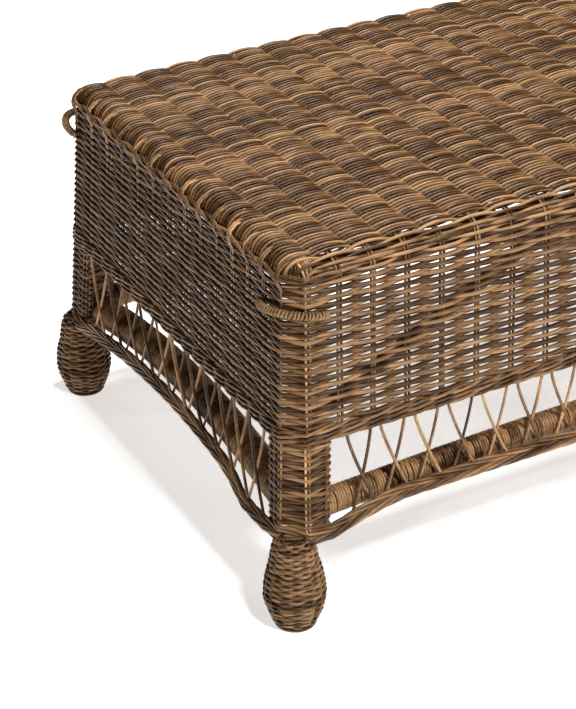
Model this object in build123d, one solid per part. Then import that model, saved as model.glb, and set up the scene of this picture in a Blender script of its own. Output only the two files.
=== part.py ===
from build123d import *
import math
import os

# Wicker coffee table. Z is up, X runs along the long sides and Y along the short ones.
# The origin is on the floor, at the middle of the table. All sizes are millimetres.

# Body
top_length = 1064.0  # plan of the body at its upper edge
top_width = 575.0
upper_edge = 422.0  # height at which that plan is taken
table_height = 439.0
flare = 0.06  # how far each face leans out, per millimetre downwards
corner_cut_top = 18.0  # flat across each corner at the upper edge
corner_cut_growth = 0.018  # its growth, per millimetre downwards

# Woven top
top_thickness = 10.0
top_rim_drop = 11.5  # the rim turns down this far at the edges
top_rim_thickness = 4.0
top_inset = 3.0  # the rim stands this far inside the side weave
top_edge_radius = 14.0
ridge_depth = 5.0
ridge_land = 8.0  # width of each ridge's level crest
ridge_fullness = 0.75  # how far up the middle of a ridge's side is

# Woven sides
weave_thickness = 7.0
band_bottom = 227.0
band_top = 244.0
band_proud = 3.0  # the rope rows stand out from the weave
band_depth = 10.0
edge_cord_radius = 4.3  # twisted strands along the short edges of the top
edge_cord_gap = 0.2  # outside the rim

# Leg weave, the column round each post
column_bottom = 101.0
column_width = 56.0
column_overlap = 4.0  # windings are laid out this far into the columns and then cut to them

# Frame poles
post_radius = 12.0
post_foot_end = 6.0
post_top_gap = 1.5  # below the woven top
post_top_inset = (28.0, 27.5)  # from the body's plan, at the upper end and at the foot
post_foot_inset = (-1.0, -2.5)
rail_radius = 13.0
rail_depth = 21.0  # rail centre behind the face
bearer_radius = 10.0
bearer_count = 3
bearer_clearance = 1.0  # between their ends and the rails
brace_radius = 9.0
brace_level = 226.0  # height at which the two braces touch
lashing_side = 46.0
lashing_wall = 4.0  # cane over and under the two poles
brace_gap = 0.3  # so that the round poles and the lashing only meet

# Stretchers
stretcher_winding = 4.0
long_stretcher_radius = 16.0  # with its cane winding
short_stretcher_radius = 19.5
stretcher_cover = 7.5  # between the face and the winding
front_stretcher = (134.5, 147.5)  # height of the centre line at the columns and at mid-span
side_stretcher = (129.5, 157.0)
butt_gap = 4.8  # between a pole's square end and the round post

# Lattice and lower border
lattice_rod = 3.2
lattice_depth = 3.5
lattice_step_right = 0.97  # how far a rod leans, in stake spacings
lattice_step_left = 0.75
front_spacings = 24
side_spacings = 13
border_height = 16.0
border_proud = 4.0
border_depth = 10.0
front_border = (105.0, 127.5)  # height of its lower edge at the columns and along the middle
front_border_rise = 110.0  # length of the curve from one to the other
side_border = (105.0, 136.5)
border_steps = 24  # points along each border's curve
lattice_gap = 0.6  # between the rods and the border, so that they only meet

# Feet
foot_inset = (-7.5, -8.5)  # foot centre from the top's plan, outwards
foot_outline = [  # radius and height
    (23.5, 0.0), (29.5, 15.0), (34.5, 30.0), (35.5, 42.0),
    (33.0, 62.0), (28.0, 79.0), (26.0, 91.0), (26.0, 101.0),
]
foot_winding = 4.0

# Corner loops for cushion ties
loop_rod_radius = 5.0
loop_level = 376.0
loops = {  # run along the long side, run along the short side, how far out, rise at the middle
    "front_left": (45.0, 62.0, 7.0, 9.0),
    "front_right": (48.0, 48.0, 17.0, 8.0),
    "back_left": (48.0, 26.0, 19.0, 12.0),
    "back_right": (48.0, 48.0, 17.0, 8.0),
}

# Screws from the posts into the rails and stretchers
screw_radius = 2.0
screw_length = 52.0  # into the rails
short_screw_length = 32.0  # into the stretchers, which curve away
screw_head = 7.0  # from the post's axis, on its far side

corners = {
    "front_left": (-1, -1),
    "front_right": (1, -1),
    "back_left": (-1, 1),
    "back_right": (1, 1),
}


def half_length(z):
    return top_length / 2 + flare * (upper_edge - z)


def half_width(z):
    return top_width / 2 + flare * (upper_edge - z)


def corner_cut(z):
    return corner_cut_top + corner_cut_growth * (upper_edge - z)


def outline(z, out):
    # the body's plan at a height, moved outwards, with its four cut corners
    a = half_length(z) + out
    b = half_width(z) + out
    c = corner_cut(z) + out * (2 - math.sqrt(2))
    points = [
        (a - c, -b), (a, -b + c), (a, b - c), (a - c, b),
        (-a + c, b), (-a, b - c), (-a, -b + c), (-a + c, -b),
    ]
    return Plane.XY.offset(z) * make_face(Polyline(*points, close=True))


def block(z_low, z_high, out):
    return loft([outline(z_low, out), outline(z_high, out)], ruled=True)


def skirt(z_low, z_high, out, inner):
    return block(z_low, z_high, out) - block(z_low, z_high, inner)


def side_regions():
    # wedges of plan, mitred through the corners, one for each side
    reach = top_width  # well past the widest part of the body
    x = (top_length - top_width) / 2
    far_x = x + reach
    plans = {
        "front": [(-x, 0), (-far_x, -reach), (far_x, -reach), (x, 0)],
        "back": [(-x, 0), (-far_x, reach), (far_x, reach), (x, 0)],
        "left": [(-x, 0), (-far_x, -reach), (-far_x, reach)],
        "right": [(x, 0), (far_x, -reach), (far_x, reach)],
    }
    return {
        side: extrude(make_face(Polyline(*points, close=True)), table_height)
        for side, points in plans.items()
    }


def rod(start, end, radius):
    start, end = Vector(*start), Vector(*end)
    along = end - start
    return Plane(origin=start, z_dir=along) * extrude(Circle(radius), along.length)


def post_ends(sx, sy):
    top = (
        sx * (top_length / 2 - post_top_inset[0]),
        sy * (top_width / 2 - post_top_inset[1]),
        table_height - top_thickness - post_top_gap,
    )
    foot = (
        sx * (top_length / 2 - post_foot_inset[0]),
        sy * (top_width / 2 - post_foot_inset[1]),
        post_foot_end,
    )
    return foot, top


def post_at(sx, sy, z):
    foot, top = post_ends(sx, sy)
    t = (z - foot[2]) / (top[2] - foot[2])
    return (foot[0] + t * (top[0] - foot[0]), foot[1] + t * (top[1] - foot[1]), z)


def post_blank(sx, sy):
    foot, top = post_ends(sx, sy)
    return rod(foot, top, post_radius)


def rail_level():
    return table_height - top_thickness - rail_radius


def top_rails(posts):
    z = rail_level()
    x = half_length(z) - rail_depth
    y = half_width(z) - rail_depth
    px, py, _ = post_at(1, 1, z)
    rails = {
        "front": rod((-px, -y, z), (px, -y, z), rail_radius),
        "back": rod((-px, y, z), (px, y, z), rail_radius),
        "left": rod((-x, -py, z), (-x, py, z), rail_radius),
        "right": rod((x, -py, z), (x, py, z), rail_radius),
    }
    return {side: rail - posts for side, rail in rails.items()}


def bearers():
    z = table_height - top_thickness - bearer_radius
    y = half_width(rail_level()) - rail_depth
    spacing = top_length / (bearer_count + 1)
    clear = math.sqrt(rail_radius**2 - (z - rail_level()) ** 2) + bearer_clearance
    made = []
    for i in range(bearer_count):
        x = (i + 1) * spacing - top_length / 2
        made.append(rod((x, -y + clear, z), (x, y - clear, z), bearer_radius))
    return made


def braces():
    # two poles from corner to corner, one lying on the other, and the cane lashing where they cross
    poles, grooves = [], []
    for k, sy in ((1, 1), (-1, -1)):
        z = brace_level + k * (brace_radius + brace_gap / 2)
        start = post_at(-1, -sy, z)
        end = post_at(1, sy, z)
        poles.append(rod(start, end, brace_radius))
        grooves.append(rod(start, end, brace_radius + brace_gap))
    lashing = Box(lashing_side, lashing_side, 4 * brace_radius + 2 * lashing_wall)
    lashing = Pos(0, 0, brace_level) * lashing - grooves
    return poles, grooves, lashing


def arched(start, middle, end, radius, inner=0.0):
    # a round rod, or a tube, along the arc through three points
    path = ThreePointArc(start, middle, end)
    section = Circle(radius)
    if inner:
        section = section - Circle(inner)
    return sweep(Plane(origin=path @ 0, z_dir=path % 0) * section, path=path)


def stretcher_span(side):
    # from the middle to a little inside the columns, which cut the windings to length
    half = half_length if side in ("front", "back") else half_width
    return half(front_stretcher[0]) - column_width + column_overlap


def stretcher_level(side, run):
    # height of a stretcher's centre line at a distance along the side from its middle
    low, high = front_stretcher if side in ("front", "back") else side_stretcher
    rise = high - low
    radius = (stretcher_span(side) ** 2 + rise**2) / (2 * rise)
    return high - radius + math.sqrt(radius**2 - run**2)


def stretcher_radius(side):
    return long_stretcher_radius if side in ("front", "back") else short_stretcher_radius


def stretcher_depth(side):
    # from the face to the centre line
    return stretcher_radius(side) + stretcher_cover


def stretcher_points(side, run):
    sign = -1 if side in ("front", "left") else 1
    end, middle = stretcher_level(side, run), stretcher_level(side, 0)
    if side in ("front", "back"):
        y = sign * (half_width(middle) - stretcher_depth(side))
        return (-run, y, end), (0, y, middle), (run, y, end)
    x = sign * (half_length(middle) - stretcher_depth(side))
    return (x, -run, end), (x, 0, middle), (x, run, end)


def stretchers():
    # each core pole runs from post to post, and its cane winding from column to column
    cores, windings = {}, {}
    for side in ("front", "back", "left", "right"):
        span = stretcher_span(side)
        px, py, _ = post_at(1, 1, stretcher_level(side, span))
        post_run = (px if side in ("front", "back") else py) - post_radius - butt_gap
        radius = stretcher_radius(side)
        core_radius = radius - stretcher_winding
        windings[side] = arched(*stretcher_points(side, span), radius, core_radius)
        cores[side] = arched(*stretcher_points(side, post_run), core_radius)
    return cores, windings


def corner_arc(x, z, out_x, radius):
    # the point halfway round a rounded edge that is centred on (x, z)
    half_turn = radius / math.sqrt(2)
    return (x + out_x * half_turn, z + half_turn)


def mirrored(point):
    return (-point[0], point[1])


def ridge_side(valley, crest):
    # the curved side of a ridge, from the bottom of a valley to the edge of a crest
    middle = ((valley[0] + crest[0]) / 2, valley[1] + ridge_fullness * (crest[1] - valley[1]))
    return ThreePointArc(valley, middle, crest)


def woven_top():
    # section across the long sides: a ridge over each pair of stakes, between two rounded edges
    half = top_length / 2 - top_inset
    side = top_width / 2 - top_inset
    low = table_height - top_thickness - top_rim_drop
    r = top_edge_radius
    spacing = (top_length - 2 * corner_cut_top) / front_spacings
    valleys = []
    for i in range(front_spacings):
        valleys.append(((i + 0.5 - front_spacings / 2) * spacing, table_height - ridge_depth))
    shoulder = (half - r, table_height)
    drop = (half, table_height - r)
    arc_middle = corner_arc(half - r, table_height - r, 1, r)
    lines = [
        ThreePointArc(mirrored(drop), mirrored(arc_middle), mirrored(shoulder)),
        ThreePointArc(shoulder, arc_middle, drop),
        Polyline(drop, (half, low), (-half, low), mirrored(drop)),
        ridge_side(valleys[0], mirrored(shoulder)),
        ridge_side(valleys[-1], shoulder),
    ]
    for a, b in zip(valleys, valleys[1:]):
        middle = (a[0] + b[0]) / 2
        crest_start = (middle - ridge_land / 2, table_height)
        crest_end = (middle + ridge_land / 2, table_height)
        lines.append(ridge_side(a, crest_start))
        lines.append(Line(crest_start, crest_end))
        lines.append(ridge_side(b, crest_end))
    section = make_face(lines)
    slab = extrude(Plane.XZ * section, side, both=True)
    hollow = Pos(0, 0, low + top_rim_drop / 2) * Box(
        2 * (half - top_rim_thickness), 2 * (side - top_rim_thickness), top_rim_drop
    )
    return slab - hollow


def edge_cords():
    # two strands twisted along each short edge of the top, outside its rim
    z = upper_edge
    x = top_length / 2 - top_inset + edge_cord_radius + edge_cord_gap
    y = top_width / 2 - corner_cut_top
    return {
        "left": rod((-x, -y, z), (-x, y, z), edge_cord_radius),
        "right": rod((x, -y, z), (x, y, z), edge_cord_radius),
    }


def leg_column(sx, sy):
    # a cut square that follows the flare, from the lower border up to the rope band
    def section(z):
        a, b, c = half_length(z), half_width(z), corner_cut(z)
        points = [
            (a - c, b), (a, b - c), (a, b - column_width),
            (a - column_width, b - column_width), (a - column_width, b),
        ]
        placed = [(sx * x, sy * y) for x, y in points]
        return Plane.XY.offset(z) * make_face(Polyline(*placed, close=True))

    return loft([section(column_bottom), section(band_bottom)], ruled=True)


def face_plane(side, depth):
    # a plane in the leaning face, at the band's lower edge, its x to the right seen from outside
    x = half_length(band_bottom) - depth
    y = half_width(band_bottom) - depth
    origins = {"front": (0, -y), "back": (0, y), "left": (-x, 0), "right": (x, 0)}
    rights = {"front": (1, 0), "back": (-1, 0), "left": (0, -1), "right": (0, 1)}
    right = rights[side]
    outward = (right[1], -right[0])
    origin = (*origins[side], band_bottom)
    return Plane(origin=origin, x_dir=(*right, 0), z_dir=(*outward, flare))


def border_level(side, run):
    # height of the lower border's lower edge at a distance along the side from its middle
    if side in ("front", "back"):
        low, high = front_border
        left = half_length(low) - column_width - abs(run)
        t = min(max(left / front_border_rise, 0.0), 1.0)
        return low + (high - low) * math.sin(t * math.pi / 2)
    low, high = side_border
    reach = half_width(low) - column_width
    return high - (high - low) * (run / reach) ** 2


def border_reach(side):
    half = half_length if side in ("front", "back") else half_width
    return half(front_border[0]) - column_width


def lower_border(side):
    # an arched bar, in the upright plane of the face at the border's height
    reach = border_reach(side)
    lows = []
    for i in range(border_steps + 1):
        run = reach * (2 * i / border_steps - 1)
        lows.append((run, border_level(side, run)))
    highs = [(run, z + border_height) for run, z in lows]
    edge = [
        Spline(*lows),
        Line(lows[-1], highs[-1]),
        Spline(*reversed(highs)),
        Line(highs[0], lows[0]),
    ]
    # the plane faces -Y or +X, so the bar goes behind it on two sides and before it on the others
    sign = -1 if side in ("front", "left") else 1
    if side in ("front", "back"):
        out = half_width(front_border[1]) + border_proud
        plane = Plane(origin=(0, sign * out, 0), x_dir=(1, 0, 0), z_dir=(0, -1, 0))
        inward = sign * border_depth
    else:
        out = half_length(side_border[1]) + border_proud
        plane = Plane(origin=(sign * out, 0, 0), x_dir=(0, 1, 0), z_dir=(1, 0, 0))
        inward = -sign * border_depth
    return extrude(plane * make_face(edge), inward)


def stake_runs(side):
    # where the stakes stand along a face, at the band's lower edge
    if side in ("front", "back"):
        reach, count = half_length(band_bottom), front_spacings
    else:
        reach, count = half_width(band_bottom), side_spacings
    reach -= corner_cut(band_bottom)
    spacing = 2 * reach / count
    return [i * spacing - reach for i in range(count + 1)], spacing


def lattice(side):
    # crossed rods in one plane: from each stake one leans right and one leans left
    runs, spacing = stake_runs(side)
    reach = border_reach(side) - lattice_rod
    bars = []
    for run in runs:
        for lean in (lattice_step_right, -lattice_step_left):
            landing = run + lean * spacing
            if max(abs(run), abs(landing)) > reach:
                continue
            level = border_level(side, landing) + border_height + lattice_gap
            w = lattice_rod / 2
            corners_of_rod = [
                (run - w, -lattice_gap), (run + w, -lattice_gap),
                (landing + w, level - band_bottom), (landing - w, level - band_bottom),
            ]
            bars.append(make_face(Polyline(*corners_of_rod, close=True)))
    grille = extrude(Sketch() + bars, lattice_rod / 2, both=True)
    return face_plane(side, lattice_depth) * grille


def foot(sx, sy, post):
    # a turned core on the post, and the cane winding that covers it down to the floor
    outer = [(r, z) for r, z in foot_outline]
    inner = [(r - foot_winding, z) for r, z in foot_outline[1:]]
    inner.insert(0, (foot_outline[0][0] - foot_winding / 2, foot_winding))
    x = sx * (top_length / 2 - foot_inset[0])
    y = sy * (top_width / 2 - foot_inset[1])

    def turned(points):
        top, bottom = points[-1], points[0]
        edge = [Spline(*points), Polyline(top, (0, top[1]), (0, bottom[1]), bottom)]
        return Pos(x, y, 0) * revolve(Plane.XZ * make_face(edge), Axis.Z)

    core = turned(inner)
    return core - post, turned(outer) - core - post


def corner_loop(name, body):
    # a bow of wound rod that leaves one face and enters the next
    sx, sy = corners[name]
    along_x, along_y, out, rise = loops[name]
    a, b, c = half_length(loop_level), half_width(loop_level), corner_cut(loop_level)
    out_each = out / math.sqrt(2) - c / 2
    start = (sx * a, sy * (b - along_y), loop_level)
    middle = (sx * (a + out_each), sy * (b + out_each), loop_level + rise)
    end = (sx * (a - along_x), sy * b, loop_level)
    return arched(start, middle, end, loop_rod_radius) - body


def frame_screws():
    # one screw through each post into each rail and stretcher that meets it
    made = []
    for sx, sy in corners.values():
        for side in ("front", "left"):
            run = stretcher_span(side) + column_width - rail_depth
            places = [
                (rail_level(), rail_depth, screw_length),
                (stretcher_level(side, run), stretcher_depth(side), short_screw_length),
            ]
            for level, depth, length in places:
                px, py, _ = post_at(sx, sy, level)
                if side == "front":
                    y = sy * (half_width(level) - depth)
                    head = px + sx * screw_head
                    made.append(rod((head, y, level), (head - sx * length, y, level), screw_radius))
                else:
                    x = sx * (half_length(level) - depth)
                    head = py + sy * screw_head
                    made.append(rod((x, head, level), (x, head - sy * length, level), screw_radius))
    return made


def build():
    nodes = {}
    blanks = {name: post_blank(*signs) for name, signs in corners.items()}
    all_posts = list(blanks.values())
    screws = frame_screws()
    cores, windings = stretchers()
    rails = top_rails(all_posts)
    poles, grooves, lashing = braces()
    columns = {name: leg_column(*signs) for name, signs in corners.items()}
    all_columns = list(columns.values())
    regions = side_regions()
    body = block(column_bottom, upper_edge, 0.0)
    nodes["woven_top"] = woven_top()
    for i, bearer in enumerate(bearers()):
        nodes[f"top_bearer_{i + 1}"] = bearer
    for i, pole in enumerate(poles):
        nodes[f"cross_brace_{i + 1}"] = pole - all_posts
    nodes["cross_brace_lashing"] = lashing
    weave = skirt(band_top, table_height - top_thickness - top_rim_drop, 0.0, -weave_thickness)
    band = skirt(band_bottom, band_top, band_proud, band_proud - band_depth)
    cords = edge_cords()
    for side, region in regions.items():
        nodes[f"top_rail_{side}"] = rails[side] - screws
        nodes[f"stretcher_core_{side}"] = cores[side] - screws
        nodes[f"stretcher_winding_{side}"] = windings[side] - all_columns
        nodes[f"side_weave_{side}"] = weave & region
        nodes[f"rope_band_{side}"] = band & region
        nodes[f"lattice_{side}"] = lattice(side)
        nodes[f"lower_border_{side}"] = lower_border(side) - all_columns
        if side in cords:
            nodes[f"edge_cord_{side}"] = cords[side]
    for name, (sx, sy) in corners.items():
        near = [cores["left" if sx < 0 else "right"], cores["front" if sy < 0 else "back"]]
        core, winding = foot(sx, sy, blanks[name])
        nodes[f"post_{name}"] = blanks[name] - screws
        nodes[f"leg_weave_{name}"] = columns[name] - [blanks[name], *near, *grooves, *screws]
        nodes[f"foot_core_{name}"] = core
        nodes[f"foot_winding_{name}"] = winding
        nodes[f"corner_loop_{name}"] = corner_loop(name, body)
    nodes["frame_screws"] = Compound(children=screws)
    return nodes


os.makedirs("parts", exist_ok=True)
for node, shape in build().items():
    shape.label = node
    export_step(shape, f"parts/{node}.step")
    print(node)
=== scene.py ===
import bpy
import math
import numpy as np
from mathutils import Matrix, Vector


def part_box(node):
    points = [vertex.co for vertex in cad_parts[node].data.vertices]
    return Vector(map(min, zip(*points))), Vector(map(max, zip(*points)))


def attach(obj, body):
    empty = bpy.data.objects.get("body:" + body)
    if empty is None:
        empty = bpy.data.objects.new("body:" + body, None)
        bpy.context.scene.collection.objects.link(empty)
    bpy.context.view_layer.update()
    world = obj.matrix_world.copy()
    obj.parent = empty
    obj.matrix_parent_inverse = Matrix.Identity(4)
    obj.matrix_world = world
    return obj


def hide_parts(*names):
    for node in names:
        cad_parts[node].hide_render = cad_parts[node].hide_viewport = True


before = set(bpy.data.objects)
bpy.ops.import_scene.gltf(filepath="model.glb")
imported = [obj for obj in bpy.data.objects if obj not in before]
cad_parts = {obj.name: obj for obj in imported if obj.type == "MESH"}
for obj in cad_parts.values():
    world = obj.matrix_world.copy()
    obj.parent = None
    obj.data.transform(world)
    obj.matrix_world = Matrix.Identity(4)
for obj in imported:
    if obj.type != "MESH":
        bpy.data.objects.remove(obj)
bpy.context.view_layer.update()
scene = bpy.context.scene
print("frame loaded:", len(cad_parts), "nodes")

sides = ("front", "right", "back", "left")
cornerNames = ("front_left", "front_right", "back_left", "back_right")
up = np.array([0.0, 0.0, 1.0])

bandLow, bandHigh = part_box("rope_band_front")
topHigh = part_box("woven_top")[1]

body = {
    "flare": 0.06,  # lean of each face
    "edgeZ": 0.422,  # height of the upper edge
    "cut": 0.018,  # flat across each corner at that edge
    "cutGrowth": 0.018,  # more of it for each metre further down
    "topInset": 0.003,
    "longSpaces": 24,  # stake spacings along the long sides
    "shortSpaces": 13,
    "backLean": 0.05,  # further lean of the back
    "backLeanZ": 0.39,  # which starts below this height
    "longDrift": 0.0095,  # how unevenly the stakes are set
    "shortDrift": 0.07,
    "stakeSize": 0.0032,
    "stakeGap": 0.0042,  # between the two rods of a pair
    "cornerSet": 0.0022,  # the corner pairs stand this far in from the cut
}
body["halfLength"] = topHigh.x + body["topInset"]
body["halfWidth"] = topHigh.y + body["topInset"]


def halfLength(z):
    return body["halfLength"] + body["flare"] * (body["edgeZ"] - z)


def halfWidth(z):
    return body["halfWidth"] + body["flare"] * (body["edgeZ"] - z)


def cornerCut(z):
    return body["cut"] + body["cutGrowth"] * (body["edgeZ"] - z)


def cornerSigns(name):
    return -1 if "left" in name else 1, -1 if "front" in name else 1


def stakeRing(z, inset=0.0):
    # plan places of all the stake pairs at a height, going round from the front left, with outward normals
    a, b, c = halfLength(z) - inset, halfWidth(z) - inset, cornerCut(z)
    u = np.linspace(-1, 1, body["longSpaces"] + 1)
    v = np.linspace(-1, 1, body["shortSpaces"] + 1)
    # hand set, so a little closer together at the ends and at the front
    long = (u - body["longDrift"] * np.sin(2 * math.pi * u)) * (a - c)
    short = (v + body["shortDrift"] * (v**2 - 1)) * (b - c)
    runs = [
        np.column_stack([long, np.full(len(long), -b)]),
        np.column_stack([np.full(len(short), a), short]),
        np.column_stack([long[::-1], np.full(len(long), b)]),
        np.column_stack([np.full(len(short), -a), short[::-1]]),
    ]
    normals = []
    for run, flat in zip(runs, ((0, -1), (1, 0), (0, 1), (-1, 0))):
        n = np.tile(np.array(flat, float), (len(run), 1))
        for end in (0, -1):
            corner = np.sign(run[end]) * math.sqrt(0.5)
            n[end] = (n[end] + corner) / np.linalg.norm(n[end] + corner)
        normals.append(n)
    return np.vstack(runs), np.vstack(normals)


def strandPiece(name, strands, thickness, material, replaced=(), ring=1, woven=True):
    curve = bpy.data.curves.new(name, "CURVE")
    curve.dimensions = "3D"
    curve.bevel_depth = thickness / 2
    curve.bevel_resolution = ring
    curve.use_fill_caps = True
    for strand in strands:
        points = leanBack(strand["points"]) if woven else np.asarray(strand["points"], float)
        spline = curve.splines.new("POLY")
        spline.points.add(len(points) - 1)
        spline.points.foreach_set("co", np.column_stack([points, np.ones(len(points))]).ravel())
        swell = np.broadcast_to(strand.get("swell", 1.0), len(points))
        spline.points.foreach_set("radius", np.ascontiguousarray(swell, float))
        spline.use_cyclic_u = strand.get("closed", False)
    piece = bpy.data.objects.new(name, curve)
    scene.collection.objects.link(piece)
    bpy.ops.object.select_all(action="DESELECT")
    piece.select_set(True)
    bpy.context.view_layer.objects.active = piece
    bpy.ops.object.convert(target="MESH")
    bpy.ops.object.shade_smooth()
    piece.data.materials.clear()
    piece.data.materials.append(material)
    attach(piece, "root")
    if replaced:
        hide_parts(*replaced)
    print(name, len(piece.data.polygons), "faces")
    return piece


def leanBack(points):
    # the lower part of the body stands out more along the back than along the front
    points = np.array(points, float)
    extra = body["backLean"] * np.clip(body["backLeanZ"] - points[:, 2], 0, None)
    points[:, 1] += extra * np.clip(points[:, 1] / body["halfWidth"], 0, 1)
    return points


def drift(rng, count, size, waves=4):
    # a slow random wander, for strands that are never quite straight
    t = np.linspace(0, 2 * math.pi, count, endpoint=False)
    out = np.zeros(count)
    for k in range(1, waves + 1):
        out += rng.normal(0, 1 / waves) * np.sin(k * t * 1.7 + rng.uniform(0, 2 * math.pi))
    return size * out


def rope(centre, across, upward, strands, radius, turnLength, phase=0.0, closed=False, swell=1.0):
    # strands twisted round a centre line, with their phase running along its length
    steps = np.linalg.norm(np.diff(centre, axis=0), axis=1)
    run = np.concatenate([[0], np.cumsum(steps)])
    if closed:
        total = run[-1] + np.linalg.norm(centre[0] - centre[-1])
        turnLength = total / round(total / turnLength)
    made = []
    for k in range(strands):
        angle = 2 * math.pi * (run / turnLength + k / strands + phase)
        points = centre + radius * (np.cos(angle)[:, None] * across + np.sin(angle)[:, None] * upward)
        made.append({"points": points, "closed": closed, "swell": swell})
    return made


def windRound(path, sideways, radius, pitch, perTurn, rng, loose=0.0):
    # one cane wound along a rod that bends in a single plane
    steps = np.linalg.norm(np.diff(path, axis=0), axis=1)
    run = np.concatenate([[0], np.cumsum(steps)])
    turns = run[-1] / pitch
    count = int(turns * perTurn)
    s = np.linspace(0, run[-1], count)
    centre = np.column_stack([np.interp(s, run, path[:, i]) for i in range(3)])
    along = np.gradient(centre, axis=0)
    along /= np.linalg.norm(along, axis=1)[:, None]
    up = np.cross(along, sideways)
    angle = 2 * math.pi * s / pitch
    wobble = radius + loose * rng.normal(0, 1, count)
    slip = pitch * 0.12 * np.repeat(rng.normal(0, 1, count // perTurn + 1), perTurn)[:count]
    return centre + along * slip[:, None] + wobble[:, None] * (
        np.cos(angle)[:, None] * up + np.sin(angle)[:, None] * sideways
    )


rattan = {
    "dark": (0.020, 0.0080, 0.0028),
    "middle": (0.118, 0.060, 0.024),
    "light": (0.50, 0.305, 0.155),
    "roughness": 0.36,
}


def rattanFinish(name, grain, tone=1.0, contrast=1.0, fibre=0.35, patches=26.0):
    # round rattan: each strand has its own tone, with slow blotches, fine fibres and a thin lacquer
    material = bpy.data.materials.new(name)
    material.use_nodes = True
    tree = material.node_tree
    nodes, links = tree.nodes, tree.links
    shader = nodes["Principled BSDF"]
    place = nodes.new("ShaderNodeTexCoord")
    own = nodes.new("ShaderNodeNewGeometry")
    shift = nodes.new("ShaderNodeVectorMath")
    shift.operation = "MULTIPLY_ADD"
    shift.inputs[1].default_value = grain
    blotch = nodes.new("ShaderNodeTexNoise")
    blotch.inputs["Scale"].default_value = patches
    blotch.inputs["Detail"].default_value = 3.0
    fibres = nodes.new("ShaderNodeTexNoise")
    fibres.inputs["Scale"].default_value = 1.0
    fibres.inputs["Detail"].default_value = 2.0
    offset = nodes.new("ShaderNodeMath")
    offset.operation = "MULTIPLY"
    offset.inputs[1].default_value = 31.0
    links.new(own.outputs["Random Per Island"], offset.inputs[0])
    links.new(place.outputs["Object"], shift.inputs[0])
    links.new(offset.outputs[0], shift.inputs[2])
    links.new(shift.outputs[0], fibres.inputs["Vector"])
    moved = nodes.new("ShaderNodeVectorMath")
    moved.operation = "ADD"
    links.new(place.outputs["Object"], moved.inputs[0])
    links.new(offset.outputs[0], moved.inputs[1])
    links.new(moved.outputs[0], blotch.inputs["Vector"])

    # strand tone + blotch + fibre, through one ramp
    mixA = nodes.new("ShaderNodeMath")
    mixA.operation = "MULTIPLY_ADD"
    mixA.inputs[1].default_value = 0.42 * contrast
    links.new(own.outputs["Random Per Island"], mixA.inputs[0])
    mixB = nodes.new("ShaderNodeMath")
    mixB.operation = "MULTIPLY_ADD"
    mixB.inputs[1].default_value = 0.75 * contrast
    mixB.inputs[2].default_value = -0.08
    links.new(blotch.outputs["Fac"], mixB.inputs[0])
    links.new(mixB.outputs[0], mixA.inputs[2])
    mixC = nodes.new("ShaderNodeMath")
    mixC.operation = "MULTIPLY_ADD"
    mixC.inputs[1].default_value = fibre
    links.new(fibres.outputs["Fac"], mixC.inputs[0])
    links.new(mixA.outputs[0], mixC.inputs[2])
    ramp = nodes.new("ShaderNodeValToRGB")
    stops = ramp.color_ramp.elements
    stops[0].position = 0.22
    stops[0].color = (*(tone * c for c in rattan["dark"]), 1)
    stops[1].position = 0.98
    stops[1].color = (*(tone * c for c in rattan["light"]), 1)
    middle = stops.new(0.58)
    middle.color = (*(tone * c for c in rattan["middle"]), 1)
    links.new(mixC.outputs[0], ramp.inputs["Fac"])
    links.new(ramp.outputs["Color"], shader.inputs["Base Color"])

    rough = nodes.new("ShaderNodeMapRange")
    rough.inputs["To Min"].default_value = rattan["roughness"] - 0.08
    rough.inputs["To Max"].default_value = rattan["roughness"] + 0.14
    links.new(blotch.outputs["Fac"], rough.inputs["Value"])
    links.new(rough.outputs["Result"], shader.inputs["Roughness"])
    bump = nodes.new("ShaderNodeBump")
    bump.inputs["Strength"].default_value = 0.35
    bump.inputs["Distance"].default_value = 0.0006
    links.new(fibres.outputs["Fac"], bump.inputs["Height"])
    links.new(bump.outputs["Normal"], shader.inputs["Normal"])
    shader.inputs["Coat Weight"].default_value = 0.08
    shader.inputs["Specular IOR Level"].default_value = 0.35
    shader.inputs["Coat Roughness"].default_value = 0.35
    return material


topRattan = rattanFinish("top_rattan", (18, 700, 60), tone=1.08)
wallRattan = rattanFinish("wall_rattan", (16, 16, 700))
stakeRattan = rattanFinish("stake_rattan", (650, 650, 14), tone=1.40)
ropeRattan = rattanFinish("rope_rattan", (60, 60, 500))
caneRattan = rattanFinish("cane_rattan", (300, 120, 300), tone=0.95, contrast=1.25, patches=70.0)
footRattan = rattanFinish("foot_rattan", (60, 60, 500), tone=0.80, contrast=1.1, patches=60.0)
poleRattan = rattanFinish("pole_rattan", (90, 90, 90), tone=0.8)
turnedWood = rattanFinish("turned_wood", (40, 40, 220), tone=0.9, fibre=0.55)


def steelFinish():
    # zinc-plated steel with a cloudy sheen
    material = bpy.data.materials.new("screw_steel")
    material.use_nodes = True
    nodes, links = material.node_tree.nodes, material.node_tree.links
    shader = nodes["Principled BSDF"]
    place = nodes.new("ShaderNodeTexCoord")
    cloud = nodes.new("ShaderNodeTexNoise")
    cloud.inputs["Scale"].default_value = 180.0
    ramp = nodes.new("ShaderNodeValToRGB")
    ramp.color_ramp.elements[0].color = (0.30, 0.30, 0.31, 1)
    ramp.color_ramp.elements[1].color = (0.56, 0.56, 0.58, 1)
    rough = nodes.new("ShaderNodeMapRange")
    rough.inputs["To Min"].default_value = 0.25
    rough.inputs["To Max"].default_value = 0.5
    links.new(place.outputs["Object"], cloud.inputs["Vector"])
    links.new(cloud.outputs["Fac"], ramp.inputs["Fac"])
    links.new(ramp.outputs["Color"], shader.inputs["Base Color"])
    links.new(cloud.outputs["Fac"], rough.inputs["Value"])
    links.new(rough.outputs["Result"], shader.inputs["Roughness"])
    shader.inputs["Metallic"].default_value = 1.0
    return material


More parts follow.
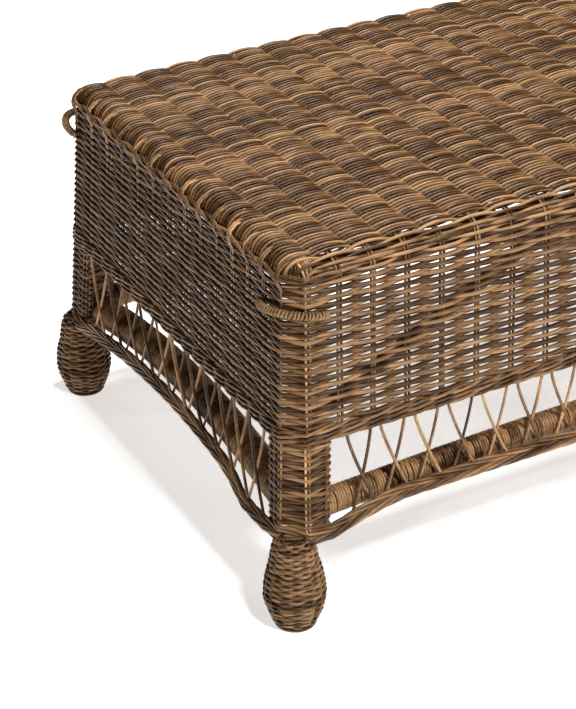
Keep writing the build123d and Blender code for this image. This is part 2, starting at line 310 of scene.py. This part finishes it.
screwSteel = steelFinish()
print("finishes made")


topWeave = {
    "thickness": 0.0033,
    "spacing": 0.00315,
    "wave": 0.0034,  # half the height between over and under
    "fullness": 0.7,  # below 1 the strands run flatter over each stake
    "crown": 0.003,
    "fanSet": 0.031,  # centre of the fanned corners, inside the upper edge
    "edgeRound": 0.019,
    "steps": 8,  # points in each stake spacing
    "over": 0.0012,  # the ends that pass over stop this far inside the edge
    "under": 0.007,
    "underRound": 0.7,  # the others turn down tighter, by this factor
    "turn": (12, 30, 50, 70, 90),  # degrees round the edge
    "dropZ": 0.4245,
    "dropIn": (0.0005, 0.0040),
    "tuckZ": 0.4165,  # where the ends stop behind the edge cord
    "wander": 0.0008,
    "edgeThickness": 0.0040,  # the loose rows over the long edges
    "edgeRows": 7,
    "pieces": 3,
}
topPeak = topHigh.z - topWeave["thickness"] / 2
topMiddle = topPeak - topWeave["wave"]
shoulder = topWeave["edgeRound"]
stakeInset = body["stakeSize"] / 2
shoulderZ = topMiddle - shoulder  # where the long faces turn over into the top
shoulderY = halfWidth(shoulderZ) - stakeInset - shoulder


def topRow(index, y, z, normal, rng):
    # one weaver along the top, over and under the stakes, turned down at both short edges
    spaces, steps = body["longSpaces"], topWeave["steps"]
    reach = halfLength(z) - cornerCut(z)
    t = np.linspace(0, spaces, spaces * steps + 1)
    sign = 1 if index % 2 == 0 else -1
    swing = np.cos(math.pi * t)
    wave = sign * topWeave["wave"] * np.sign(swing) * np.abs(swing) ** topWeave["fullness"]
    x = reach * (2 * t / spaces - 1)
    limit = halfLength(z) - max(0.0, abs(y) - (halfWidth(z) - cornerCut(z)))
    r = shoulder if sign > 0 else shoulder * topWeave["underRound"]
    outer = limit - (topWeave["over"] if sign > 0 else topWeave["under"])
    keep = np.abs(x) < outer - r
    level = np.full(len(x), y) + drift(rng, len(x), topWeave["wander"], 6)
    crown = topWeave["crown"] * (1 - (x / reach) ** 2)
    points = np.column_stack([x, level + normal[0] * wave, z + crown + normal[1] * wave])[keep]
    ends = []
    for side in (-1, 1):
        first = points[0] if side < 0 else points[-1]
        high = z + normal[1] * sign * topWeave["wave"]
        turn = np.radians(np.array(topWeave["turn"]))
        bend = np.column_stack([
            side * (outer - r + r * np.sin(turn)),
            np.full(len(turn), first[1]),
            high - r + r * np.cos(turn),
        ])
        lean = rng.normal(0, 0.0009)
        drop = [
            [side * (outer - inward), first[1] + lean, low]
            for inward, low in zip(topWeave["dropIn"], (topWeave["dropZ"], topWeave["tuckZ"]))
        ]
        ends.append(np.vstack([bend, drop]))
    swell = rng.normal(1.0, 0.05)
    return {"points": np.vstack([ends[0][::-1], points, ends[1]]), "swell": swell}


topFan = {
    "strands": 9,
    "spread": (4, 86),  # degrees
    "runs": (-0.010, 0.004, 0.014, 0.0215, 0.0255, 0.0270),  # out from the centre of the fan
    "levels": (0.4335, 0.4355, 0.4350, 0.4315, 0.4245, 0.4150),
}


def makeTop():
    rng = np.random.default_rng(11)
    rows = []
    count = int(round(2 * shoulderY / topWeave["spacing"]))
    for k in range(count + 1):
        y = -shoulderY + 2 * shoulderY * k / count
        rows.append(topRow(k, y + rng.normal(0, 0.0003), topMiddle, (0.0, 1.0), rng))
    share = math.ceil(len(rows) / topWeave["pieces"])
    for k in range(topWeave["pieces"]):
        strandPiece(
            f"top_weavers_{k + 1}", rows[k * share:(k + 1) * share], topWeave["thickness"],
            topRattan, ["woven_top"] if k == 0 else [],
        )
    # the loose rows that go over the long edges
    edge = []
    turns = topWeave["edgeRows"]
    for side in (-1, 1):
        for k in range(turns):
            angle = math.radians(90 * (k + 0.5) / turns)
            y = side * (shoulderY + shoulder * math.sin(angle))
            z = topMiddle - shoulder * (1 - math.cos(angle))
            edge.append(topRow(k, y, z, (side * math.sin(angle), math.cos(angle)), rng))
    # short ends fanned round each corner
    reach = halfLength(body["edgeZ"]) - topWeave["fanSet"]
    depth = halfWidth(body["edgeZ"]) - topWeave["fanSet"]
    for sx in (-1, 1):
        for sy in (-1, 1):
            for angle in np.radians(np.linspace(*topFan["spread"], topFan["strands"])):
                runs = np.array(topFan["runs"]) * rng.normal(1, 0.03)
                x = sx * (reach + runs * math.cos(angle))
                y = sy * (depth + runs * math.sin(angle))
                edge.append({"points": np.column_stack([x, y, topFan["levels"]])})
    strandPiece("top_edge_rows", edge, topWeave["edgeThickness"], topRattan)


makeTop()
print("top woven")


shortStake = {
    "levels": (0.4310, 0.4345, 0.4335, 0.4285, 0.4215, 0.4150, 0.4090),  # from the top over the edge cord
    "outs": (-0.030, -0.016, -0.0050, 0.0025, 0.0052, 0.0038, 0.0002),  # from the face
    "leans": (0.0090, 0.0060, 0.0035, 0.0015, 0, 0, 0),  # towards the back
}


def makeStakes():
    rng = np.random.default_rng(5)
    low = bandLow.z
    rods = []
    ringLow = stakeRing(low, stakeInset)[0]
    ringHigh = stakeRing(shoulderZ, stakeInset)[0]
    count = body["longSpaces"] + 1
    angles = np.radians(np.arange(0, 91, 15))
    for i in range(count):
        for gap in (-0.5, 0.5):
            shift = gap * body["stakeGap"]
            if i in (0, count - 1):
                shift -= math.copysign(body["cornerSet"], ringLow[i][0])
            lowX, highX = ringLow[i][0] + shift, ringHigh[i][0] + shift
            front = [[lowX, ringLow[i][1], low]]
            for t in (0.25, 0.5, 0.75):
                wander = rng.normal(0, 0.0004)
                front.append([
                    lowX + (highX - lowX) * t + wander,
                    ringLow[i][1] + (ringHigh[i][1] - ringLow[i][1]) * t,
                    low + (shoulderZ - low) * t,
                ])
            over = np.column_stack([
                np.full(len(angles), highX),
                -(shoulderY + shoulder * np.cos(angles)),
                topMiddle - shoulder + shoulder * np.sin(angles),
            ])
            half = np.vstack([front, over])
            mirrored = half[::-1] * np.array([1, -1, 1])
            rods.append({"points": np.vstack([half, mirrored])})
    strandPiece("long_stakes", rods, body["stakeSize"], stakeRattan)

    # short sides: each pair comes off the top, over the edge cord and down the face
    rods = []
    first = body["longSpaces"] + 1
    zs = np.array(shortStake["levels"])
    outs = np.array(shortStake["outs"]) + stakeInset
    for j in range(body["shortSpaces"] + 1):
        for gap in (-0.5, 0.5):
            points = []
            for z, out, lean in zip(zs, outs, shortStake["leans"]):
                x, y = stakeRing(z, stakeInset)[0][first + j]
                points.append([x + out, y + lean + gap * body["stakeGap"], z])
            for t in (0.25, 0.5, 0.75, 1.0):
                z = zs[-1] + (low - zs[-1]) * t
                x, y = stakeRing(z, stakeInset)[0][first + j]
                if j in (0, body["shortSpaces"]):
                    y -= math.copysign(body["cornerSet"], y)
                points.append([x, y + gap * body["stakeGap"] + rng.normal(0, 0.0004), z])
            points = np.array(points)
            rods.append({"points": points})
            rods.append({"points": points * np.array([-1, 1, 1])})
    strandPiece("short_stakes", rods, body["stakeSize"], stakeRattan)


makeStakes()
print("stakes set")


sideWeave = {
    "thickness": 0.0047,
    "rowPitch": 0.0042,
    "wave": 0.0030,
    "shortWave": 0.45,  # of it, on the short sides
    "cornerWave": 0.55,
    "steps": 6,
    "lowest": 0.2475,
    "highest": 0.4170,
    "pieces": 3,
}


def ringRow(z, index, rng, wave, steps):
    # one weaver all the way round, in and out of the stake pairs
    ring, normals = stakeRing(z, stakeInset)
    count = len(ring)
    second = body["longSpaces"] + 1
    third = second + body["shortSpaces"] + 1
    fourth = third + second
    corners = (0, second - 1, second, third - 1, third, fourth - 1, fourth, count - 1)
    t = np.arange(steps) / steps
    points = []
    for i in range(count):
        j = (i + 1) % count
        sign = 1 if (i + index) % 2 == 0 else -1
        flat = ring[i] + t[:, None] * (ring[j] - ring[i])
        out = normals[i] + t[:, None] * (normals[j] - normals[i])
        out /= np.linalg.norm(out, axis=1)[:, None]
        near, far = (
            sideWeave["cornerWave"] if k in corners
            else sideWeave["shortWave"] if second < k < third or k > fourth else 1.0
            for k in (i, j)
        )
        offset = sign * wave * (near + t * (far - near)) * np.cos(math.pi * t)
        points.append(flat + out * offset[:, None])
    flat = np.vstack(points)
    level = z + drift(rng, len(flat), 0.0007, 9)
    return np.column_stack([flat, level])


def makeSides():
    rng = np.random.default_rng(23)
    count = int(round((sideWeave["highest"] - sideWeave["lowest"]) / sideWeave["rowPitch"]))
    rows = []
    for k in range(count + 1):
        z = sideWeave["lowest"] + (sideWeave["highest"] - sideWeave["lowest"]) * k / count
        points = ringRow(z, k, rng, sideWeave["wave"], sideWeave["steps"])
        rows.append({"points": points, "closed": True, "swell": rng.normal(1, 0.05)})
    share = math.ceil(len(rows) / sideWeave["pieces"])
    replaced = [f"side_weave_{side}" for side in sides]
    for k in range(sideWeave["pieces"]):
        strandPiece(
            f"side_weavers_{k + 1}", rows[k * share:(k + 1) * share], sideWeave["thickness"],
            wallRattan, replaced if k == 0 else [],
        )


makeSides()
print("sides woven")


band = {"rows": 3, "strands": 3, "thickness": 0.0039, "radius": 0.0026}
pitchLong = 2 * (body["halfLength"] - body["cut"]) / body["longSpaces"]


def ringLine(levelAt, out, steps):
    # a smooth line round the body, at a height given for each place
    ring, normals = stakeRing(bandLow.z, stakeInset)
    count = len(ring)
    t = np.arange(steps) / steps
    flat, outward = [], []
    for i in range(count):
        j = (i + 1) % count
        flat.append(ring[i] + t[:, None] * (ring[j] - ring[i]))
        n = normals[i] + t[:, None] * (normals[j] - normals[i])
        outward.append(n / np.linalg.norm(n, axis=1)[:, None])
    flat, outward = np.vstack(flat), np.vstack(outward)
    z = np.array([levelAt(x, y) for x, y in flat])
    lean = body["flare"] * (bandLow.z - z) + out
    flat = flat + outward * lean[:, None]
    return np.column_stack([flat, z]), np.column_stack([outward, np.zeros(len(flat))])


def makeBand():
    strands = []
    height = bandHigh.z - bandLow.z
    for k in range(band["rows"]):
        z = bandLow.z + height * (k + 0.5) / band["rows"]
        centre, out = ringLine(lambda x, y, z=z: z, 0.0005, 6)
        strands += rope(centre, out * 1.2, up * 0.75, band["strands"], band["radius"],
                        2 * pitchLong, k / 3, True)
    strandPiece("rope_band", strands, band["thickness"], ropeRattan,
                [f"rope_band_{side}" for side in sides])


border = {
    "frontLow": 0.105,  # lower edge at the columns
    "frontHigh": 0.1275,
    "frontRise": 0.110,
    "sideHigh": 0.1355,
    "column": 0.056,
    "thickness": 0.0040,
    "dip": 0.015,  # the short sides hang lower just behind the front legs
    "dipAt": -0.208,
    "dipWidth": 0.036,
}
# the lower and the upper rope of the border, twisted opposite ways
borderRopes = (
    {"rise": 0.0040, "out": 0.0025, "across": 0.75, "upward": 1.1, "strands": 5, "radius": 0.0034,
     "turn": 3, "phase": 0.0},
    {"rise": 0.0120, "out": 0.0010, "across": 0.7, "upward": 1, "strands": 4, "radius": 0.0032,
     "turn": -3, "phase": 0.3},
)


def borderLevel(x, y):
    # lower edge of the border at a place round the body
    a, b = halfLength(border["frontLow"]), halfWidth(border["frontLow"])
    onLong = abs(abs(y) - halfWidth(bandLow.z)) < 0.004
    if onLong:
        left = a - border["column"] - abs(x)
        t = min(max(left / border["frontRise"], 0.0), 1.0)
        return border["frontLow"] + (border["frontHigh"] - border["frontLow"]) * math.sin(t * math.pi / 2)
    reach = b - border["column"]
    drop = (border["sideHigh"] - border["frontLow"]) * min(abs(y) / reach, 1.0) ** 2
    dip = border["dip"] * math.exp(-(((y - border["dipAt"]) / border["dipWidth"]) ** 2))
    return max(border["sideHigh"] - drop - dip, border["frontLow"] - 0.004)


def makeBorder():
    strands = []
    for row in borderRopes:
        centre, out = ringLine(lambda x, y, rise=row["rise"]: borderLevel(x, y) + rise, row["out"], 8)
        strands += rope(centre, out * row["across"], up * row["upward"], row["strands"], row["radius"],
                        pitchLong * row["turn"], row["phase"], True)
    strandPiece("lower_border", strands, border["thickness"], ropeRattan,
                [f"lower_border_{side}" for side in sides])


edgeCord = {
    "thickness": 0.0042,
    "radius": 0.0026,  # of the twist
    "out": 0.0046,  # centre line beyond the stakes
    "flat": 0.7,  # the twist is a little flattened
    "tall": 1.05,
}


def makeEdgeCords():
    rng = np.random.default_rng(3)
    ring, normals = stakeRing(body["edgeZ"], stakeInset)
    first, last = body["longSpaces"] + 1, body["longSpaces"] + body["shortSpaces"] + 1
    picks = range(first - 2, last + 3)
    flat = np.array([ring[i % len(ring)] for i in picks])
    outward = np.array([normals[i % len(ring)] for i in picks])
    fine = np.linspace(0, len(flat) - 1, (len(flat) - 1) * 6 + 1)
    at = np.arange(len(flat))
    line = np.column_stack([np.interp(fine, at, flat[:, 0]), np.interp(fine, at, flat[:, 1]),
                            np.full(len(fine), body["edgeZ"])])
    out = np.column_stack([np.interp(fine, at, outward[:, 0]), np.interp(fine, at, outward[:, 1]),
                           np.zeros(len(fine))])
    line = line + out * edgeCord["out"]
    line[:, 2] += drift(rng, len(line), 0.0005)
    cord = rope(line, out * edgeCord["flat"], up * edgeCord["tall"], 2, edgeCord["radius"],
                2 * pitchLong, 0.1)
    twin = [{"points": strand["points"] * np.array([-1, 1, 1])} for strand in cord]
    strandPiece("edge_cords", cord + twin, edgeCord["thickness"], topRattan,
                ["edge_cord_left", "edge_cord_right"])


makeBand()
makeBorder()
makeEdgeCords()
print("ropes laid")


lattice = {
    "thickness": 0.0035,
    "right": 0.98,  # how far a cane leans to each side, in stake spacings
    "left": 0.75,
    "startRight": 0.0062,
    "startLeft": -0.0026,
    "depth": 0.0016,  # one set crosses in front of the other
    "tuckTop": 0.004,
    "tuckBottom": 0.0125,
    "clear": 0.004,  # from the leg columns
    "bow": 1.32,  # each cane bows instead of running straight
}


def makeLattice():
    rng = np.random.default_rng(31)
    strands = []
    z0 = bandLow.z + lattice["tuckTop"]
    ring, normals = stakeRing(bandLow.z, stakeInset)
    starts = [0, body["longSpaces"] + 1, body["longSpaces"] + body["shortSpaces"] + 2,
              2 * body["longSpaces"] + body["shortSpaces"] + 3]
    for s, start in enumerate(starts):
        spaces = body["longSpaces"] if s % 2 == 0 else body["shortSpaces"]
        along = ring[start + 1] - ring[start]
        pitch = np.linalg.norm(along)
        along /= pitch
        out = normals[start + 1]
        half = spaces * pitch / 2
        for i in range(1, spaces):
            for lean, begin, depth in (
                (lattice["right"], lattice["startRight"], lattice["depth"]),
                (-lattice["left"], lattice["startLeft"], -lattice["depth"]),
            ):
                here = ring[start + i]
                offset = i * pitch - half
                landing = offset + lean * pitch
                limit = half + cornerCut(bandLow.z) - border["column"] - lattice["clear"]
                if abs(landing) > limit:
                    continue
                end = here + along * (lean * pitch)
                z1 = borderLevel(*end) + lattice["tuckBottom"]
                t = np.linspace(0, 1, 9)
                power = lattice["bow"] + rng.normal(0, 0.08)
                shift = begin + (lean * pitch - begin) * t ** power + rng.normal(0, 0.0008)
                z = z0 + (z1 - z0) * t
                flat = here + along * shift[:, None] + out * (
                    body["flare"] * (bandLow.z - z) + depth * (1 - 0.5 * t))[:, None]
                strands.append({"points": np.column_stack([flat, z]), "swell": rng.normal(1, 0.06)})
    strandPiece("lattice", strands, lattice["thickness"], stakeRattan,
                [f"lattice_{side}" for side in sides], ring=2)


makeLattice()
print("lattice made")


legWeave = {"thickness": 0.0045, "rowPitch": 0.0041, "wave": 0.0016, "width": 0.056, "steps": 6}


def columnRing(z):
    # stakes round a leg column, in the quarter where x and y are positive
    a, b, c = halfLength(z) - stakeInset, halfWidth(z) - stakeInset, cornerCut(z)
    w = legWeave["width"] - 0.003
    return np.array([
        (a - c, b), (a, b - c), (a - 0.003, b - w + 0.005), (a - 0.010, b - w),
        (a - w + 0.016, b - w + 0.006), (a - w + 0.006, b - w + 0.016),
        (a - w, b - 0.010), (a - w + 0.005, b - 0.003),
    ])


def makeLegs():
    rng = np.random.default_rng(41)
    low, high = border["frontLow"] + 0.004, bandLow.z + 0.002
    count = int(round((high - low) / legWeave["rowPitch"]))
    for name in cornerNames:
        sx, sy = cornerSigns(name)
        strands = []
        t = np.arange(legWeave["steps"]) / legWeave["steps"]
        for k in range(count + 1):
            z = low + (high - low) * k / count
            plan = columnRing(z)
            n = len(plan)
            centre = plan.mean(0)
            points = []
            for i in range(n):
                j = (i + 1) % n
                sign = 1 if (i + k) % 2 == 0 else -1
                flat = plan[i] + t[:, None] * (plan[j] - plan[i])
                out = flat - centre
                out /= np.linalg.norm(out, axis=1)[:, None]
                wave = sign * legWeave["wave"] * np.cos(math.pi * t)
                points.append(flat + out * wave[:, None])
            flat = np.vstack(points)
            lift = drift(rng, len(flat), 0.0009)
            points = np.column_stack([flat[:, 0] * sx, flat[:, 1] * sy, z + lift])
            strands.append({"points": points, "closed": True, "swell": rng.normal(1, 0.06)})
        strandPiece(f"leg_weavers_{name}", strands, legWeave["thickness"], wallRattan,
                    [f"leg_weave_{name}"])
    rods = []
    for name in cornerNames:
        sx, sy = cornerSigns(name)
        levels = np.linspace(low - 0.004, high + 0.004, 4)
        plans = [columnRing(z) for z in levels]
        for i in range(len(plans[0])):
            middle = plans[0].mean(0)
            out = plans[0][i] - middle
            side = np.array([-out[1], out[0]]) / np.linalg.norm(out)
            for gap in (-0.5, 0.5):
                flat = np.array([p[i] + side * gap * body["stakeGap"] for p in plans])
                rods.append({"points": np.column_stack([flat[:, 0] * sx, flat[:, 1] * sy, levels])})
    strandPiece("leg_stakes", rods, body["stakeSize"], stakeRattan)


foot = {
    "outline": [(0.0235, 0.0), (0.0295, 0.015), (0.0345, 0.030), (0.0355, 0.042), (0.0330, 0.062),
                (0.0280, 0.079), (0.0258, 0.091), (0.0250, 0.100), (0.0215, 0.107), (0.0150, 0.112)],
    "thickness": 0.0040,
    "pitch": 0.0034,
    "wave": 0.0014,
    "stakes": 16,
}


def makeFeet():
    rng = np.random.default_rng(53)
    outline = np.array(foot["outline"])
    knots = np.arange(len(outline))
    fine = np.linspace(0, len(outline) - 1, 200)
    smooth = np.column_stack([np.interp(fine, knots, outline[:, i]) for i in (0, 1)])
    kernel = np.ones(25) / 25
    padded = np.pad(smooth, ((12, 12), (0, 0)), mode="edge")
    smooth = np.column_stack([np.convolve(padded[:, i], kernel, "valid") for i in (0, 1)])
    run = np.concatenate([[0], np.cumsum(np.linalg.norm(np.diff(smooth, axis=0), axis=1))])
    r0 = foot["thickness"] / 2
    around = np.linspace(0, 2 * math.pi, foot["stakes"] * 6, endpoint=False)
    for name in cornerNames:
        low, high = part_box(f"foot_winding_{name}")
        middle = (low + high) / 2
        strands = []
        # underside: flat rings inside the first standing row
        for radius in np.arange(smooth[0, 0] - r0, r0, -foot["pitch"]):
            x = middle.x + radius * np.cos(around)
            y = middle.y + radius * np.sin(around)
            ring = np.column_stack([x, y, np.full(len(around), r0)])
            strands.append({"points": ring, "closed": True})
        rows = int(run[-1] / foot["pitch"])
        for k in range(1, rows + 1):
            s = run[-1] * k / rows
            radius = np.interp(s, run, smooth[:, 0]) - r0
            z = np.interp(s, run, smooth[:, 1]) + r0
            wave = foot["wave"] * (-1) ** k * np.cos(foot["stakes"] / 2 * around)
            ripple = drift(rng, len(around), 0.0003, 7)
            tilt = rng.normal(0, 0.0007) * np.cos(around + rng.uniform(0, 6))
            ring = np.column_stack([
                middle.x + (radius + wave + ripple) * np.cos(around),
                middle.y + (radius + wave + ripple) * np.sin(around),
                np.maximum(z + tilt + drift(rng, len(around), 0.0004, 9), r0),
            ])
            strands.append({"points": ring, "closed": True, "swell": rng.normal(1, 0.06)})
        strandPiece(f"foot_cane_{name}", strands, foot["thickness"], footRattan,
                    [f"foot_winding_{name}"], woven=False)


stretcher = {
    "thickness": 0.0034,
    "pitch": 0.0034,
    "perTurn": 14,
    "front": (0.1345, 0.1475),  # height of the centre line at the columns and at mid-span
    "side": (0.1295, 0.157),
    "points": 60,
}


def makeStretchers():
    rng = np.random.default_rng(61)
    for side in sides:
        low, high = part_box(f"stretcher_winding_{side}")
        middle = (low + high) / 2
        ends, top = stretcher["front"] if side in ("front", "back") else stretcher["side"]
        half = (high.x - low.x) / 2 if side in ("front", "back") else (high.y - low.y) / 2
        rise = top - ends
        bow = (half**2 + rise**2) / (2 * rise)
        s = np.linspace(-half, half, stretcher["points"])
        z = top - bow + np.sqrt(bow**2 - s**2)
        if side in ("front", "back"):
            path = np.column_stack([s, np.full(len(s), middle.y), z])
            sideways = np.array([0.0, 1.0, 0.0])
        else:
            path = np.column_stack([np.full(len(s), middle.x), s, z])
            sideways = np.array([1.0, 0.0, 0.0])
        radius = min(high.x - low.x, high.y - low.y) / 2 - stretcher["thickness"] / 2
        wound = windRound(path, sideways, radius, stretcher["pitch"], stretcher["perTurn"], rng)
        cuts = np.cumsum(rng.integers(2, 7, 400)) * stretcher["perTurn"]
        lengths = np.split(wound, cuts[cuts < len(wound) - 3])
        for before, after in zip(lengths, lengths[1:]):
            after[0] = before[-1]
        strandPiece(f"stretcher_cane_{side}", [{"points": part} for part in lengths],
                    stretcher["thickness"], caneRattan,
                    [f"stretcher_winding_{side}"], woven=False)


# reach along each face, how far out at the corner, and how far up
loops = {
    "front_left": (0.045, 0.062, 0.007, 0.009),
    "front_right": (0.048, 0.048, 0.017, 0.008),
    "back_left": (0.048, 0.026, 0.019, 0.012),
    "back_right": (0.048, 0.048, 0.017, 0.008),
}
loop = {"z": 0.376, "radius": 0.0050, "thickness": 0.0031, "pitch": 0.0039, "perTurn": 12, "points": 60}


def arcThrough(start, middle, end, count):
    # a circular arc through three points in space, and the normal of its plane
    u, v = middle - start, end - start
    w = np.cross(u, v)
    toCentre = (np.dot(u, u) * np.cross(v, w) - np.dot(v, v) * np.cross(u, w)) / (2 * np.dot(w, w))
    centre = start + toCentre
    radius = np.linalg.norm(toCentre)
    e1 = -toCentre / radius
    normal = w / np.linalg.norm(w)
    e2 = np.cross(normal, e1)
    sweep = math.atan2(np.dot(end - centre, e2), np.dot(end - centre, e1)) % (2 * math.pi)
    t = np.linspace(0, sweep, count)
    return centre + radius * (np.cos(t)[:, None] * e1 + np.sin(t)[:, None] * e2), normal


def makeLoops():
    rng = np.random.default_rng(71)
    for name, (alongX, alongY, out, rise) in loops.items():
        sx, sy = cornerSigns(name)
        z = loop["z"]
        a, b, c = halfLength(z), halfWidth(z), cornerCut(z)
        each = out / math.sqrt(2) - c / 2
        start = np.array([sx * a, sy * (b - alongY), z])
        middle = np.array([sx * (a + each), sy * (b + each), z + rise])
        end = np.array([sx * (a - alongX), sy * b, z])
        path, normal = arcThrough(start, middle, end, loop["points"])
        wound = windRound(path, normal, loop["radius"] - loop["thickness"] / 2, loop["pitch"],
                          loop["perTurn"], rng)
        strandPiece(f"loop_cane_{name}", [{"points": wound}], loop["thickness"], footRattan,
                    [f"corner_loop_{name}"])


makeLegs()
makeFeet()
makeStretchers()
makeLoops()
print("legs, feet, stretchers and loops made")


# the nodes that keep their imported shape, and what they are made of; the rest are bare poles
otherFinishes = {"frame_screws": screwSteel, "cross_brace_lashing": caneRattan}
for name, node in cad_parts.items():
    finish = turnedWood if name.startswith("foot_core") else otherFinishes.get(name, poleRattan)
    node.data.materials.clear()
    node.data.materials.append(finish)
print("poles finished")


studio = {"floorSize": 14, "floor": (0.93, 0.93, 0.93, 1), "glow": 0.68, "sky": 0.04, "gamma": 0.85}

floorFinish = bpy.data.materials.new("floor_paint")
floorFinish.use_nodes = True
floorShader = floorFinish.node_tree.nodes["Principled BSDF"]
floorShader.inputs["Base Color"].default_value = studio["floor"]
floorShader.inputs["Roughness"].default_value = 0.9
floorShader.inputs["Emission Color"].default_value = (1, 1, 1, 1)
floorShader.inputs["Emission Strength"].default_value = studio["glow"]
bpy.ops.object.select_all(action="DESELECT")
bpy.ops.mesh.primitive_plane_add(size=studio["floorSize"], location=(0, 0, 0))
floor = bpy.context.object
floor.name = "floor"
floor.data.materials.append(floorFinish)

world = bpy.data.worlds.new("studio")
scene.world = world
world.use_nodes = True
world.node_tree.nodes["Background"].inputs["Color"].default_value = (1.0, 1.0, 1.0, 1)
world.node_tree.nodes["Background"].inputs["Strength"].default_value = studio["sky"]


def softLight(name, place, aim, size, power, colour=(1, 1, 1)):
    data = bpy.data.lights.new(name, "AREA")
    data.shape = "SQUARE"
    data.size = size
    data.energy = power
    data.color = colour
    lamp = bpy.data.objects.new(name, data)
    scene.collection.objects.link(lamp)
    lamp.location = place
    lamp.rotation_euler = (Vector(aim) - Vector(place)).to_track_quat("-Z", "Y").to_euler()


softLight("key", (-0.35, -2.35, 2.9), (0, 0, 0.25), 0.5, 96)
softLight("over", (0.7, 0.4, 3.2), (0, 0, 0.3), 0.5, 82)

view = {"place": (-1.4478, -2.0634, 1.4923), "turn": -27.19, "tilt": 60.01, "roll": -1.58, "lens": 111.3}


def makeCamera():
    camera = bpy.data.objects.new("camera", bpy.data.cameras.new("camera"))
    scene.collection.objects.link(camera)
    camera.data.lens = view["lens"]
    camera.data.clip_end = 50
    camera.matrix_world = (
        Matrix.Translation(view["place"]) @ Matrix.Rotation(math.radians(view["turn"]), 4, "Z")
        @ Matrix.Rotation(math.radians(view["tilt"]), 4, "X")
        @ Matrix.Rotation(math.radians(view["roll"]), 4, "Z")
    )
    scene.camera = camera


makeCamera()
scene.view_settings.view_transform = "Standard"
scene.view_settings.gamma = studio["gamma"]
print("stage set")
